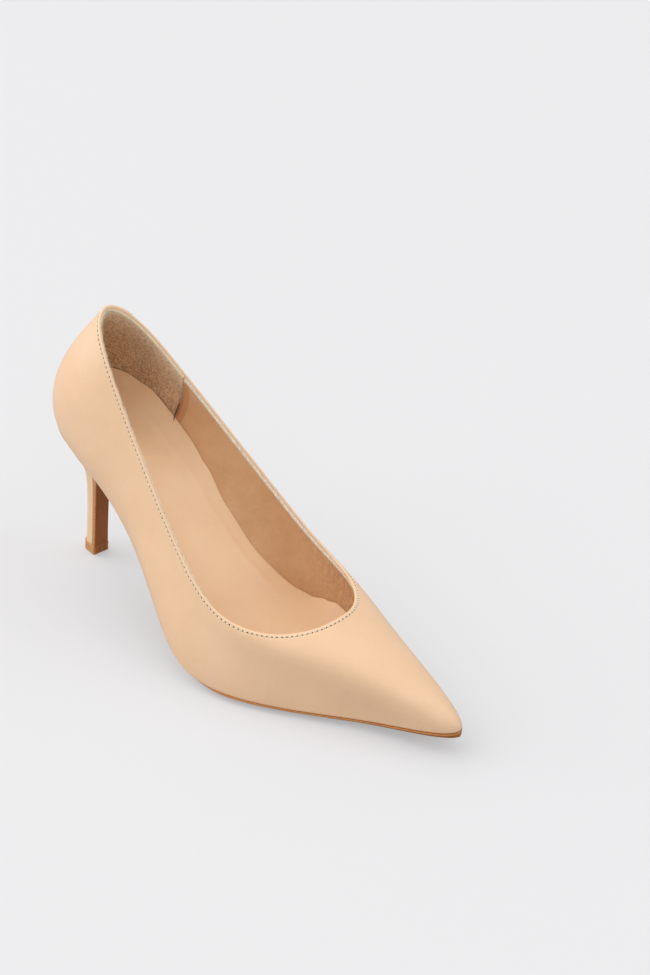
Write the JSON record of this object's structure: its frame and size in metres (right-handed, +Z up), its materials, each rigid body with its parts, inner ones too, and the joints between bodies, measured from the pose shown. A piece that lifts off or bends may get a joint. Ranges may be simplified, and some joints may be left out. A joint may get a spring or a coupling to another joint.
{
  "type": "high heel pump",
  "caption": "Pointed-toe high heel pump, right shoe: lined leather upper with open throat, cushioned insole, leather sole and slim covered stiletto heel.",
  "frame": {"origin": "centre of the heel top piece's ground face, on the floor", "axes": "+X from heel to toe, +Y to the wearer's medial side, +Z up"},
  "size_m": [0.2634, 0.089, 0.148],
  "materials": {
    "upper_skin": "smooth satin nude leather",
    "lining_skin": "smooth caramel lining leather",
    "suede": "napped heel grip",
    "stiffener": "thermoplastic stiffener sheet",
    "interlining": "woven backing cloth",
    "tape": "nylon tape",
    "thread": "sewing thread",
    "board": "fibre board",
    "spring_steel": "blued spring steel",
    "steel": "plain steel",
    "felt": "felt filler",
    "sole_skin": "brown burnished sole leather",
    "foam": "soft latex foam",
    "sock_skin": "soft sock leather",
    "heel_plastic": "moulded heel plastic",
    "tip_plastic": "hard caramel top piece",
    "brass": "brass"
  },
  "bodies": {
    "root": {"back_tab_stitching": "thread", "bottom_filler": "felt", "breast_brad": "brass", "heel_core": "heel_plastic", "heel_counter": "stiffener", "heel_cover": "upper_skin", "heel_grip": "suede", "heel_nails": "steel", "heel_rand": "sole_skin", "heel_screw": "steel", "heel_tube": "steel", "insole_board": "board", "lateral_interlining": "interlining", "medial_interlining": "interlining", "outsole": "sole_skin", "shank_board": "board", "shank_rivets": "steel", "sock_foam": "foam", "sock_leather": "sock_skin", "steel_shank": "spring_steel", "toe_puff": "stiffener", "top_piece": "tip_plastic", "top_piece_pin": "steel", "topline_stitching": "thread", "topline_tape": "tape", "upper_leather": "upper_skin", "vamp_lining": "lining_skin"}
  },
  "joints": []
}
